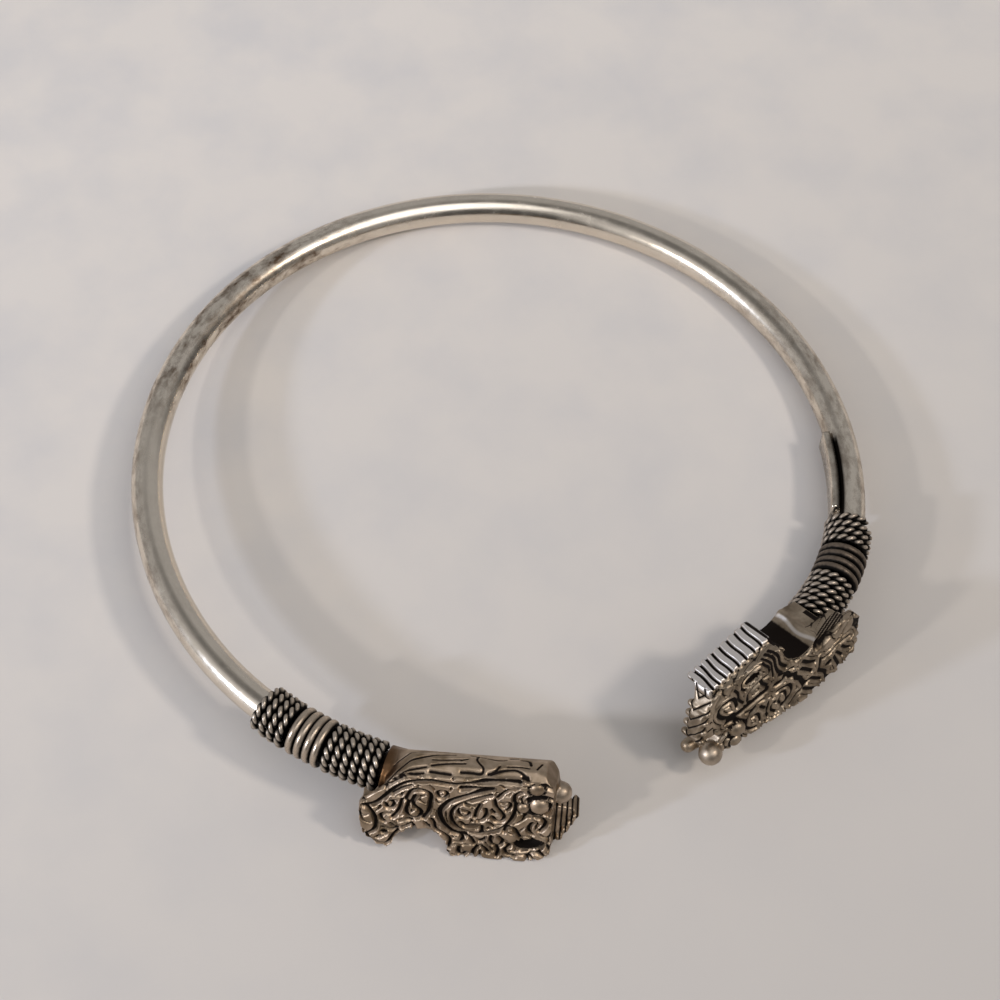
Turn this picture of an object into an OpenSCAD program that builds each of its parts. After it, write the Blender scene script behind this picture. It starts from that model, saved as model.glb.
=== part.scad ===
// Open cuff bracelet: a round rod bent to a ring, wound with wire at both ends,
// where two castings of the same beast's head face each other across the opening.
// The cuff lies on its side on a flat surface, its opening toward -Y, as it rests by itself.

/* [Bangle] */
// Radius of the rod's centre line
ring_r = 31.2; // [30.8:0.1:31.6]
// Diameter of the round rod
rod_d = 2.8; // [2.6:0.1:3]
// Angle from the back of the ring to the end of each wire wrap
wrap_end = 140.6; // [140:0.2:141]
// Angle that the whole wire wrap of one end covers
wrap_span = 21; // [20.6:0.1:21.2]
// Radius of the tighter bend of the rod inside the right wrap
right_bend_r = 20; // [19:0.5:24]
// Tilt of the resting ring about X, down toward its back
tilt_x = -2.65; // [-2.8:0.05:-2.5]
// Tilt of the resting ring about Y, down toward its right side
tilt_y = 2.5; // [2.35:0.05:2.6]

/* [Inner plate] */
// Angle of the plate's middle from the back of the ring
plate_mid = 110; // [100:1:112]
// Length of the plate along the rod
plate_l = 8.6; // [6:0.1:10]
// Height of the plate
plate_h = 2.4; // [1.8:0.1:2.6]
// Thickness of the plate
plate_t = 0.5; // [0.4:0.05:0.7]

/* [Wire wraps] */
// Diameter of the twisted rope
rope_d = 0.78; // [0.7:0.02:0.8]
// Diameter of the plain wire
wire_d = 0.72; // [0.66:0.02:0.74]
// Turns of rope on the rod's side of a wrap
rod_rope_turns = 3; // [2:1:3]
// Turns of rope on the head's side of a wrap
head_rope_turns = 5; // [3:1:5]
// Turns of plain wire between the ropes
wire_turns = 4; // [3:1:4]
// Clear fit between pieces
fit = 0.05; // [0.04:0.01:0.08]

/* [Heads] */
// Length of a head from its neck to its chin
head_l = 18; // [17.5:0.1:18.5]
// Thickness at the neck
neck_t = 5; // [4.8:0.1:5.2]
// Thickness at the nose
nose_t = 3.4; // [3:0.1:3.8]
// Height of the relief on the outer face
relief_h = 0.35; // [0.2:0.05:0.45]
// Left head: direction of its length
left_turn = -25.5; // [-27:0.5:-24]
// Left head: lean of its outer face, upward
left_lean = 19; // [17:0.5:21]
// Right head: direction of its length
right_turn = -157; // [-160:0.5:-154]
// Right head: lean of its outer face, upward
right_lean = 14; // [12:0.5:17]
// Right head: drop of its nose toward the surface below
right_dip = 1.5; // [0:0.5:3]

/* [Hidden] */

$fn = 48;

rod_r = rod_d / 2;
// sets the middle of the whole cuff, heads included, on the origin
centre_y = 0.93;
ring_tilt = acos(cos(tilt_x) * cos(tilt_y));
ring_z = rod_r + ring_r * sin(ring_tilt);

rope_r = rope_d / 2;
wire_r = wire_d / 2;
rope_pitch = rope_d + 0.03;
wire_pitch = wire_d + 0.04;
rope_sides = 6;
rope_steps = 20;
deg_per_mm = 180 / (PI * ring_r);
wrap_r = rod_r + fit + rope_d;

// the three parts of a wrap, as angles from the back of the ring, counted toward the head
rod_rope_start = wrap_end - wrap_span;
function rope_span(turns) = (turns * rope_pitch + rope_d) * deg_per_mm;
head_rope_start = wrap_end - rope_span(head_rope_turns);
wire_middle = (rod_rope_start + rope_span(rod_rope_turns) + head_rope_start) / 2;

// the bent stretch is a hair thinner, so that its surface never lies in the circle's
bend_step = 0.03;
// how far the rod goes on into the head
socket_depth = 1.5;
rod_end = wrap_end + socket_depth * deg_per_mm;

// the point of the ring that each head is placed from, and the same point in the head's own frame
head_at = 137;
socket = [0, 6.1, -0.9];
face_w = neck_t / 2;
chin_w = 1.3;
head_mesh_fn = 12;

silver = [0.74, 0.71, 0.66];
dark_silver = [0.55, 0.52, 0.47];
warm_silver = [0.66, 0.62, 0.55];

// a point of the ring's own plane, tilted as the cuff rests
function tilted(p) = [
    p[0] * cos(tilt_y) + (p[1] * sin(tilt_x) + p[2] * cos(tilt_x)) * sin(tilt_y),
    centre_y + p[1] * cos(tilt_x) - p[2] * sin(tilt_x),
    ring_z - p[0] * sin(tilt_y) + (p[1] * sin(tilt_x) + p[2] * cos(tilt_x)) * cos(tilt_y)
];
function ring_point(side, angle) = tilted([side * ring_r * sin(angle), ring_r * cos(angle), 0]);

module in_ring() translate([0, centre_y, ring_z]) rotate([tilt_x, tilt_y, 0]) children();

// the rod's centre line at an angle of the ring: a circle, but on the right a tighter bend in the wrap
function bent(side, angle) = side > 0 && angle > rod_rope_start;
function bend_r(side, angle) = bent(side, angle) ? right_bend_r : ring_r;
function bend_angle(side, angle) =
    bent(side, angle) ? rod_rope_start + (angle - rod_rope_start) * ring_r / right_bend_r : angle;
function bend_centre(side, angle) =
    (ring_r - bend_r(side, angle)) * [side * sin(rod_rope_start), cos(rod_rope_start)];

// children stand at an angle of the ring with +Y along the rod, toward that side's head
module on_rod(side, angle)
    translate(bend_centre(side, angle))
        rotate([0, 0, 90 - side * bend_angle(side, angle)])
            translate([bend_r(side, angle), 0, 0])
                rotate([0, 0, side > 0 ? 180 : 0])
                    children();

// an arc about the origin, from one angle to another, with a child profile drawn about the rod's centre
module ring_arc(from, to, r = ring_r)
    rotate([0, 0, 90 - to])
        rotate_extrude(angle = to - from, $fn = 160)
            translate([r, 0])
                children();

// the stretch of one side's centre line between two angles past the start of its wrap
module end_arc(side, from, to)
    translate(bend_centre(side, to)) {
        a = bend_angle(side, from);
        b = bend_angle(side, to);
        ring_arc(side > 0 ? a : -b, side > 0 ? b : -a, bend_r(side, to)) children();
    }

module bangle_rod() {
    plate_half = plate_l / 2 * deg_per_mm;
    color(silver) in_ring() {
        ring_arc(-rod_end, rod_rope_start) circle(r = rod_r);
        end_arc(1, rod_rope_start - 0.3, rod_end) circle(r = rod_r - bend_step);
        ring_arc(plate_mid - plate_half, plate_mid + plate_half)
            translate([-rod_r - plate_t + 0.15, -plate_h / 2])
                square([plate_t, plate_h]);
    }
}

// one section of the rope's coil: angle along the ring and turn about the rod
function coil_section(side, along, turn, coil_r) = [
    for (k = [0 : rope_sides - 1])
        let (
            a = 360 * k / rope_sides,
            out = coil_r + rope_r * cos(a),
            angle = along + rope_r * sin(a) * deg_per_mm,
            centre = bend_centre(side, angle),
            r = bend_r(side, angle) + out * cos(turn),
            t = bend_angle(side, angle)
        )
        [centre[0] + side * r * sin(t), centre[1] + r * cos(t), out * sin(turn)]
];

// a rope wound round the rod, one closed mesh
module rope_coil(side, start, rope_turns) {
    coil_r = rod_r + fit + rope_r;
    steps = rope_turns * rope_steps;
    points = [
        for (i = [0 : steps])
            each coil_section(side, start + (rope_r + rope_turns * rope_pitch * i / steps) * deg_per_mm,
                360 * rope_turns * i / steps, coil_r)
    ];
    sides = [
        for (i = [0 : steps - 1], k = [0 : rope_sides - 1])
            let (next = (k + 1) % rope_sides, a = i * rope_sides, b = a + rope_sides)
            side < 0 ? [a + k, b + k, b + next, a + next] : [a + next, b + next, b + k, a + k]
    ];
    first = [for (k = [0 : rope_sides - 1]) side < 0 ? k : rope_sides - 1 - k];
    last = [for (k = [0 : rope_sides - 1]) steps * rope_sides + (side < 0 ? rope_sides - 1 - k : k)];
    color(dark_silver) in_ring() polyhedron(points, concat(sides, [first], [last]), convexity = 10);
}

// close turns of plain wire on a thin backing of solder
module plain_wire(side) {
    coil_r = rod_r + fit + wire_r;
    length = (wire_turns - 1) * wire_pitch;
    color(silver) in_ring() on_rod(side, wire_middle) rotate([90, 0, 0]) {
        for (i = [0 : wire_turns - 1])
            translate([0, 0, i * wire_pitch - length / 2])
                rotate_extrude() translate([coil_r, 0]) circle(r = wire_r, $fn = 24);
        difference() {
            cylinder(r = coil_r, h = length, center = true);
            cylinder(r = rod_r + fit + 0.06, h = length + 1, center = true);
        }
    }
}

module left_rod_rope() rope_coil(-1, rod_rope_start, rod_rope_turns);
module left_plain_wire() plain_wire(-1);
module left_head_rope() rope_coil(-1, head_rope_start, head_rope_turns);
module right_rod_rope() rope_coil(1, rod_rope_start, rod_rope_turns);
module right_plain_wire() plain_wire(1);
module right_head_rope() rope_coil(1, head_rope_start, head_rope_turns);

// The head in its own frame: X from the neck to the nose, Y from the jaw to the crest,
// Z out of the ornamented face. The two castings differ where the photo shows it.

left_rear = [[0.1, 4.5], [0.1, 3.7], [0.2, 2.2], [0.7, 0.7], [1.6, 0]];
left_crest = [[15.2, 8.7], [14, 9], [7.5, 8.9], [4.2, 8.8], [3.1, 8], [2.3, 7], [1.3, 5.9], [0.4, 5.1]];
left_arch = [5.2, 0];
right_rear = [[-0.7, 4.8], [0, 3.4], [1.6, 2.4], [3, 2.2], [4.3, 2]];
left_ridge = [[0.6, 5], [1.5, 5.8], [3.4, 7.8], [7.5, 8], [13.4, 8.4]];
right_crest = [[15.2, 7.7], [13, 8], [10, 8.7], [6, 9.6], [3, 9.6], [1.9, 8.6], [0.2, 6.6]];
right_arch = [6.3, 0];
arch_r = 2.3;
mouth = [14.2, 5.2];

// seen from the side
module head_outline(right)
    offset(r = 0.25, $fn = 16) offset(delta = -0.25)
        difference() {
            polygon(concat(right ? right_rear : left_rear,
                [[7.8, -0.8], [14, -0.8], [15.8, -0.1], [17.3, 1.6], [head_l, 3.2], [17.7, 4.4], [15.8, 4.8],
                mouth, [15.8, 5.6], [16.4, 6.4], [16.2, 7.4]],
                right ? right_crest : left_crest));
            translate(right ? right_arch : left_arch) circle(r = arch_r, $fn = 32);
        }

// seen from the crest, as length and thickness: thick at the neck, thin at the nose
module head_taper(right) {
    back = face_w - nose_t;
    polygon(concat(
        right ? [[-2, 2.2], [1, 2.9], [7, 2.9], [15.5, 1.5], [17.5, 1.2], [19, 0.6]]
            : [[-2, face_w - 0.8], [0, face_w], [15.9, face_w], [16.1, chin_w], [19, chin_w - 0.3]],
        [[19, back + 1], [16.4, back + 0.6], [15.5, back], [12.8, -1.7], [10, -2.1], [6, -2.1], [2.5, -1.5],
        [-2, -1.5]]
    ));
}

// height of the jaw's edge across its thickness: the left head's jaw lies along the surface below
function jaw_y(right, w) = right ? -0.45 : 0.25 - w * 0.345;

// seen from the nose, as height and thickness: the jaw and a rounded roof along the crest
module head_section(right)
    polygon(concat(
        right ? [[-0.8, 2.9], [-0.8, 2.1]] : [[-0.68, 2.9], [-0.68, 2.5]],
        [[jaw_y(right, 1.2), 1.2], [jaw_y(right, -1.6), -1.6], [2.6, -1.8], [4, -face_w], [5.9, -face_w]],
        right ? [[8.2, -1.8], [9.4, -0.7], [9.7, 0], [9.3, 0.6], [7.6, 1.45], [7.65, 2.3], [7.8, 2.9]]
            : [[7, -1.6], [8.3, -0.4], [8.9, 0.6], [8.9, 1.6], [8.3, face_w], [8.1, 2.9]]
    ));

// the body of the casting, where its three outlines cross, open behind the face for the wrap
module head_body(right)
    difference() {
        intersection() {
            translate([0, 0, -5]) linear_extrude(10) head_outline(right);
            translate([0, -2, 0]) rotate([-90, 0, 0]) linear_extrude(14) mirror([0, 1]) head_taper(right);
            translate([-2, 0, 0]) rotate([90, 0, 90]) linear_extrude(21) head_section(right);
        }
        translate([-3, right ? -2 : 2.6, -6]) cube([right ? 5.9 : 5.2, 16, 7.2]);
        translate([2.2, 12, 1.2]) rotate([90, 0, 0]) linear_extrude(9.4)
            polygon([[-6, -0.1], [0, -0.1], [0, 1], [-6, 0.2]]);
    }

// raised curls of the face, as columns:
// centre x, centre y, start radius, end radius, start angle, end angle
curls = [
    [4.3, 5.1, 1.5, 0.45, 70, -430],
    [2.3, 5.9, 0.6, 0.35, 20, 290],
    [2, 4.2, 0.65, 0.35, 60, 330],
    [8.62, 4.8, 0.6, 0.25, -60, 300],
    [10.1, 5.1, 0.6, 0.25, 120, -230],
    [11.7, 5.9, 0.5, 0.3, -90, 200],
    [11.4, 4.4, 0.5, 0.3, 90, -200],
    [8, 2, 0.75, 0.3, 200, -150],
    [11.2, 1.9, 0.7, 0.3, 200, -150],
    [12.5, 2.9, 0.75, 0.3, 240, -120]
];
curl_w = 0.32;
curl_steps = 14;

function curl_edge(c, side) = [
    for (i = [0 : curl_steps])
        let (
            t = i / curl_steps,
            r = c[2] + (c[3] - c[2]) * t + side * curl_w / 2,
            a = c[4] + (c[5] - c[4]) * t
        )
        [c[0] + r * cos(a), c[1] + r * sin(a)]
];

module curl(c) {
    inner = curl_edge(c, -1);
    polygon(concat(curl_edge(c, 1), [for (i = [curl_steps : -1 : 0]) inner[i]]));
}

module drop_shape(r)
    hull() {
        translate([8.9, 4.8]) circle(r = r, $fn = 24);
        translate([12.9, 7.5]) circle(r = 0.1 + r / 8, $fn = 8);
    }

module ring_2d(at, r, width, stretch = 1, turn = 0)
    translate(at) rotate(turn) scale([1, stretch]) difference() {
        circle(r = r, $fn = 16);
        circle(r = r - width, $fn = 16);
    }

// the swirl of the face: a drop round small curls, rings at the eye and nostril
module head_relief(right)
    intersection() {
        translate([0, 0, relief_h]) head_body(right);
        linear_extrude(5)
            intersection() {
                offset(delta = -0.2) head_outline(right);
                union() {
                    for (c = curls) curl(c);
                    difference() {
                        drop_shape(2.55);
                        drop_shape(2.1);
                    }
                    ring_2d([6.6, 6.9], 0.45, 0.25);
                    ring_2d(right ? [14.2, 2.5] : [14.5, 3.8], 0.75, 0.3, 1.4, -30);
                }
            }
    }

// a round bar through the given points
module bar(points, r)
    for (i = [0 : len(points) - 2])
        hull()
            for (p = [points[i], points[i + 1]])
                translate(p) sphere(r = r, $fn = head_mesh_fn);

// ribs across the jaw and round the chin
module jaw_ribs(right) {
    for (i = [0 : 8])
        let (x = 9 + i * 0.8)
        bar([for (w = [1, -1.4]) [x, jaw_y(right, w) + (right ? -0.05 : 0.3), w]], 0.36);
    for (i = [0 : 3])
        let (x = 16.6 + i * 0.4, y = 1.2 + i * 0.9)
        bar([[x, y, 1.4], [x, y, -0.5]], 0.36);
}

// the nose's ball, the two bosses of the face and the small knob on the right head's far side
module nose_balls(right) {
    face = right ? 1.6 : face_w;
    translate(right ? [17, 6.6, 1.3] : [16.5, 6, 0.9]) sphere(r = right ? 1.05 : 0.95, $fn = 16);
    translate([right ? 14.2 : 14.8, right ? 5.5 : 5.9, face - 0.1]) sphere(r = 0.75, $fn = head_mesh_fn);
    translate([14.5, right ? 7 : 7.8, face - 0.1]) sphere(r = 0.55, $fn = head_mesh_fn);
    if (right)
        bar([[16, 6.6, -0.4], [17.8, 6.2, -0.5]], 0.65);
}

// the raised line between the face and the roof
module crest_line(right)
    bar(right ? [[0, 5.2, 2.6], [3, 7.7, 2.8], [7.6, 7.6, 2.7], [13, 7.3, 1.8]]
        : [for (p = left_ridge) [p[0], p[1], face_w - 0.1]], 0.3);

module hollow(right)
    translate(right ? [12.2, 0.6, 2.1] : [14.2, 1.2, face_w])
        rotate([0, 0, 12]) scale([1.35, 0.75, 1]) sphere(r = 0.9, $fn = 16);

module casting(right)
    difference() {
        union() {
            head_body(right);
            head_relief(right);
            jaw_ribs(right);
            nose_balls(right);
            crest_line(right);
        }
        hollow(right);
    }

// a head on its side of the ring, cleared for the rod's end and for the wrap
module head(side, turn, dip, tip)
    color(warm_silver) difference() {
        union() {
            translate(ring_point(side, head_at))
                rotate([0, dip, turn])
                    rotate([tip, 0, 0])
                        translate(-socket)
                            casting(side > 0);
            in_ring() end_arc(side, wrap_end + 0.2, rod_end + 0.8) circle(r = rod_r + 0.6, $fn = 24);
        }
        in_ring() {
            end_arc(side, wrap_end - 1, rod_end + 0.3) circle(r = rod_r + fit, $fn = 32);
            end_arc(side, wrap_end - 9, wrap_end + 0.15) circle(r = wrap_r + fit, $fn = 32);
        }
    }

module left_head() head(-1, left_turn, 0, 90 - left_lean);
module right_head() head(1, right_turn, right_dip, right_lean - 90);

bangle_rod();
left_rod_rope();
left_plain_wire();
left_head_rope();
right_rod_rope();
right_plain_wire();
right_head_rope();
left_head();
right_head();
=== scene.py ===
# Open cuff bracelet: a bent silver rod, a wire wrap near each end and two cast beast heads.
import math
import bpy
import numpy as np
from mathutils import Matrix, Vector


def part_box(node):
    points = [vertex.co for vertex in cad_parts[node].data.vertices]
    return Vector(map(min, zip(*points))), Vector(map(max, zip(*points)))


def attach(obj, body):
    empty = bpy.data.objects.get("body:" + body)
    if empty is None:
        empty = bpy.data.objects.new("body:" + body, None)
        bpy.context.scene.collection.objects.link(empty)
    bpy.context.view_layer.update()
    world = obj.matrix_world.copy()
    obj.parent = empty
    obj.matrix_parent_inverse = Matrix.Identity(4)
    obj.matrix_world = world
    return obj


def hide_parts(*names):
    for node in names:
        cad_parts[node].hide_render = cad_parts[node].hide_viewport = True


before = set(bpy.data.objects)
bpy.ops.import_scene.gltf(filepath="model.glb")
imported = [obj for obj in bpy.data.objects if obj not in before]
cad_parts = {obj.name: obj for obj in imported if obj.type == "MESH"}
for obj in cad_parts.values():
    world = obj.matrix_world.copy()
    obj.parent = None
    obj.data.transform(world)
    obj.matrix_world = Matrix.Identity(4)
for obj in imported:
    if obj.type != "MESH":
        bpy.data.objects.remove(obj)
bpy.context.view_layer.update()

mm = 0.001


def linearColour(text):  # sRGB hex to the linear colour that a shader takes
    parts = [int(text[i:i + 2], 16) / 255 for i in (1, 3, 5)]
    return [p / 12.92 if p <= 0.04045 else ((p + 0.055) / 1.055) ** 2.4 for p in parts] + [1]


# among the inputs a socket, or a node's own output, is linked; a hex colour or another value is set
def addNode(tree, kind, settings=None, inputs=None):
    node = tree.nodes.new(kind)
    for key, value in (settings or {}).items():
        setattr(node, key, value)
    for key, value in (inputs or {}).items():
        if isinstance(value, bpy.types.Node):
            value = next(output for output in value.outputs if output.enabled)
        if isinstance(value, bpy.types.NodeSocket):
            tree.links.new(value, node.inputs[key])
        else:
            node.inputs[key].default_value = linearColour(value) if isinstance(value, str) else value
    return node


def newMaterial(name):
    material = bpy.data.materials.new(name)
    material.use_nodes = True
    material.node_tree.nodes.clear()
    return material


def blendStep(low, high, x):  # 0 below low, 1 above high, smooth between
    t = np.clip((x - low) / (high - low), 0, 1)
    return t * t * (3 - 2 * t)


def between(x, low, high):
    return (x > low) & (x < high)


def window(x, start, full, fading, end):  # 1 from full to fading, 0 before start and past end
    return blendStep(start, full, x) * (1 - blendStep(fading, end, x))


def makePiece(name, points, faces, material, node, attributes):  # points in mm, in the shared frame
    mesh = bpy.data.meshes.new(name)
    mesh.from_pydata((np.asarray(points) * mm).tolist(), [], faces)
    mesh.update()
    mesh.shade_smooth()
    for key, values in attributes.items():
        values = np.asarray(values, dtype=np.float32)
        kind = "FLOAT" if values.ndim == 1 else "FLOAT_VECTOR"
        field = mesh.attributes.new(key, kind, "POINT")
        field.data.foreach_set("value" if kind == "FLOAT" else "vector", values.ravel())
    mesh.materials.append(material)
    piece = bpy.data.objects.new(name, mesh)
    bpy.context.scene.collection.objects.link(piece)
    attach(piece, "root")
    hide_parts(node)


# the ring's path in mm and degrees, as the source has it
ring = {"radius": 31.2, "tiltX": -2.65, "tiltY": 2.5, "centreY": 0.93, "wrapStart": 119.6, "wrapEnd": 140.6,
        "bendRadius": 20.0, "rodEnd": 143.3, "rodRadius": 1.4}
degreesPerMm = 180 / (math.pi * ring["radius"])
ringLift = ring["rodRadius"] + ring["radius"] * math.sin(
    math.acos(math.cos(math.radians(ring["tiltX"])) * math.cos(math.radians(ring["tiltY"]))))
ringPlace = (Matrix.Translation((0, ring["centreY"], ringLift))
             @ Matrix.Rotation(math.radians(ring["tiltY"]), 4, "Y")
             @ Matrix.Rotation(math.radians(ring["tiltX"]), 4, "X"))
ringTurn = np.array(ringPlace.to_3x3())
ringShift = np.array(ringPlace.translation)
ringUp = np.array([0, 0, 1.0])


def inFrame(points):  # from the ring's own plane to the shared frame
    return np.asarray(points) @ ringTurn.T + ringShift


def rodPath(side, angle):  # the rod's centre and the direction outward, at each angle from the back
    angle = np.atleast_1d(np.asarray(angle, dtype=float))
    bent = (side > 0) & (angle > ring["wrapStart"])
    radius = np.where(bent, ring["bendRadius"], ring["radius"])
    bentTurn = ring["wrapStart"] + (angle - ring["wrapStart"]) * ring["radius"] / ring["bendRadius"]
    turn = np.radians(np.where(bent, bentTurn, angle))
    start = math.radians(ring["wrapStart"])
    toBend = ring["radius"] - ring["bendRadius"]
    bendCentre = np.array([side * math.sin(start), math.cos(start), 0]) * toBend
    outward = np.stack([side * np.sin(turn), np.cos(turn), np.zeros_like(turn)], -1)
    return bent[:, None] * bendCentre + radius[:, None] * outward, outward


def gridFaces(rows, columns, first=0, closed=False):  # quads between rings of points, and a face at each end
    faces = [(first + i * columns + k, first + i * columns + (k + 1) % columns,
              first + (i + 1) % rows * columns + (k + 1) % columns, first + (i + 1) % rows * columns + k)
             for i in range(rows if closed else rows - 1) for k in range(columns)]
    if not closed:
        faces.append(tuple(first + k for k in reversed(range(columns))))
        faces.append(tuple(first + (rows - 1) * columns + k for k in range(columns)))
    return faces


# the camera, in mm and degrees: it stands where the photo was taken from
view = {"elevation": 59.04, "roll": 3.0, "heading": -23.94, "distance": 222.5, "target": (0.081, -0.653, 0),
        "lens": 88.94, "clipStart": 0.01}
heading = Matrix.Rotation(math.radians(view["heading"]), 3, "Z")


def makeCamera():
    tip, roll = math.radians(view["elevation"]), math.radians(view["roll"])
    back = Vector((0, -math.cos(tip), math.sin(tip)))
    right = Vector((1, 0, 0))
    up = back.cross(right)
    rolledRight = math.cos(roll) * right + math.sin(roll) * up
    rolledUp = math.cos(roll) * up - math.sin(roll) * right
    turned = Matrix((rolledRight, rolledUp, back)).transposed()
    place = heading @ (back * view["distance"] + Vector(view["target"])) + Vector((0, ring["centreY"], 0))
    camera = bpy.data.objects.new("camera", bpy.data.cameras.new("camera"))
    camera.matrix_world = Matrix.Translation(place * mm) @ (heading @ turned).to_4x4()
    camera.data.lens = view["lens"]
    camera.data.clip_start = view["clipStart"]
    bpy.context.scene.collection.objects.link(camera)
    bpy.context.scene.camera = camera


makeCamera()

# the sheet: it turns from colour to shade in blotches, and a painted shade greys it from one edge to the
# other, darkest toward the near right
paper = {"sizeMm": 1400, "colour": "#E1DBD5", "shade": "#D3D0CF", "paintedShadeColour": "#C3BEB9", "roughness": 0.75,
         "blotchMm": 9, "blotches": (0.4, 0.75), "paintedShadeToward": (0.55, -0.83, 0), "paintedShadeMm": (-55, 60),
         "fibreMm": 0.9, "fibreDepthMm": 0.1, "fibreStrength": 0.06}


def paperMaterial():  # smooth wove paper: matt, with faint cool blotches and a barely felt grain
    material = newMaterial("wovePaper")
    tree = material.node_tree
    where = addNode(tree, "ShaderNodeTexCoord").outputs["Object"]
    blotch = addNode(tree, "ShaderNodeTexNoise", inputs={
        "Vector": where, "Scale": 1000 / paper["blotchMm"], "Detail": 5})
    amount = addNode(tree, "ShaderNodeMapRange", inputs={
        "Value": blotch, "From Min": paper["blotches"][0], "From Max": paper["blotches"][1]})
    colour = addNode(tree, "ShaderNodeMix", {"data_type": "RGBA"}, {
        "Factor": amount, "A": paper["colour"], "B": paper["shade"]})
    # painted shade: the sheet greys toward its near right, standing for light that falls off there
    frontward = addNode(tree, "ShaderNodeVectorMath", {"operation": "DOT_PRODUCT"}, {
        0: where, 1: heading @ Vector(paper["paintedShadeToward"])})
    duller = addNode(tree, "ShaderNodeMapRange", inputs={
        "Value": frontward.outputs["Value"], "From Min": paper["paintedShadeMm"][0] * mm,
        "From Max": paper["paintedShadeMm"][1] * mm})
    dulled = addNode(tree, "ShaderNodeMix", {"data_type": "RGBA"}, {
        "Factor": duller, "A": colour, "B": paper["paintedShadeColour"]})
    fibre = addNode(tree, "ShaderNodeTexNoise", inputs={
        "Vector": where, "Scale": 1000 / paper["fibreMm"], "Detail": 3})
    bump = addNode(tree, "ShaderNodeBump", inputs={
        "Height": fibre, "Strength": paper["fibreStrength"], "Distance": paper["fibreDepthMm"] * mm})
    shader = addNode(tree, "ShaderNodeBsdfPrincipled", inputs={
        "Base Color": dulled, "Roughness": paper["roughness"], "Normal": bump})
    addNode(tree, "ShaderNodeOutputMaterial", inputs={"Surface": shader})
    return material


def makeFloor():
    half = paper["sizeMm"] / 2 * mm
    mesh = bpy.data.meshes.new("floor")
    mesh.from_pydata([(-half, -half, 0), (half, -half, 0), (half, half, 0), (-half, half, 0)], [],
                     [(0, 1, 2, 3)])
    mesh.materials.append(paperMaterial())
    floor = bpy.data.objects.new("floor", mesh)
    bpy.context.scene.collection.objects.link(floor)


makeFloor()

# soft round lamps; toward gives each lamp's place as seen by the camera: right, away and up
lamps = {
    "rightLamp": {"toward": (0.8, -0.22, 1), "sizeMm": 80, "watts": 0.9, "colour": "#FFF3E6"},
    "leftLamp": {"toward": (-1.45, -1.08, 1), "sizeMm": 34, "watts": 0.75, "colour": "#FFF6EC"},
    "windowLight": {"toward": (-2.2, -1.15, 1), "sizeMm": 40, "watts": 1.2, "colour": "#D6E4FF"},
}
lampDistanceMm = 600
# the room that the silver reflects: a patch adds to its strength or takes from it. In degrees, azimuth
# is counted from straight away from the camera, right positive, and the patch is whole out to full
# and ends at gone.
room = {"colour": "#DCDCDE", "strength": 0.52}
roomPatches = {
    "ceiling": {"azimuth": 134, "elevation": 64, "full": 10, "gone": 30, "adds": 2.0},
    "leftWall": {"azimuth": -126, "elevation": 30, "full": 10, "gone": 42, "adds": 0.4},
    "behindCamera": {"azimuth": 176, "elevation": 12, "full": 10, "gone": 42, "adds": -0.42},
    "shadedRight": {"azimuth": 92, "elevation": 16, "full": 8, "gone": 46, "adds": -0.37},
    "overheadLeft": {"azimuth": -45, "elevation": 72, "full": 5, "gone": 30, "adds": -0.3},
}


def makeLamp(name, lamp):
    data = bpy.data.lights.new(name, "AREA")
    data.shape = "DISK"
    data.size = lamp["sizeMm"] * mm
    data.energy = lamp["watts"]
    data.color = linearColour(lamp["colour"])[:3]
    light = bpy.data.objects.new(name, data)
    toward = heading @ Vector(lamp["toward"])
    light.location = toward.normalized() * lampDistanceMm * mm
    light.rotation_euler = (-toward).to_track_quat("-Z", "Y").to_euler()
    bpy.context.scene.collection.objects.link(light)


def makeRoom():
    world = bpy.data.worlds.new("room")
    world.use_nodes = True
    tree = world.node_tree
    tree.nodes.clear()
    direction = addNode(tree, "ShaderNodeTexCoord").outputs["Generated"]
    strength = room["strength"]
    for patch in roomPatches.values():
        azimuth, elevation = math.radians(patch["azimuth"]), math.radians(patch["elevation"])
        away = math.cos(elevation)
        middle = heading @ Vector((math.sin(azimuth) * away, math.cos(azimuth) * away, math.sin(elevation)))
        near = addNode(tree, "ShaderNodeVectorMath", {"operation": "DOT_PRODUCT"}, {0: direction, 1: middle})
        adds = addNode(tree, "ShaderNodeMapRange", {"interpolation_type": "SMOOTHSTEP"}, {
            "Value": near.outputs["Value"], "From Min": math.cos(math.radians(patch["gone"])),
            "From Max": math.cos(math.radians(patch["full"])), "To Max": patch["adds"]})
        strength = addNode(tree, "ShaderNodeMath", {"operation": "ADD"}, {
            0: adds, 1: strength})
    background = addNode(tree, "ShaderNodeBackground", inputs={
        "Color": room["colour"], "Strength": strength})
    addNode(tree, "ShaderNodeOutputWorld", inputs={"Surface": background})
    bpy.context.scene.world = world
    bpy.context.scene.view_settings.view_transform = "Standard"


for name, lamp in lamps.items():
    makeLamp(name, lamp)
makeRoom()
print("stage: camera, floor and lights")

# the rod in mm, a hair thinner than the source's, and the small plate soldered inside it
rod = {"steps": 420, "sides": 48, "radius": 1.398, "bentRadius": 1.37,
       "colour": "#E6DBCB", "tarnish": "#6E5A48", "shadeUnderWrap": "#15110E", "roughness": 0.17,
       "scratchMm": 0.12, "scratchStretch": 0.06, "scratchDepthMm": 0.03, "wearMm": 1.6667,
       "bloomMm": 0.9091, "bloomStretch": 0.45, "bloomSpots": (0.42, 0.66)}
plate = {"steps": 36, "middle": 110, "length": 8.6, "height": 2.4, "inner": -1.748, "root": -1.1,
         "round": 0.09}
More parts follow.
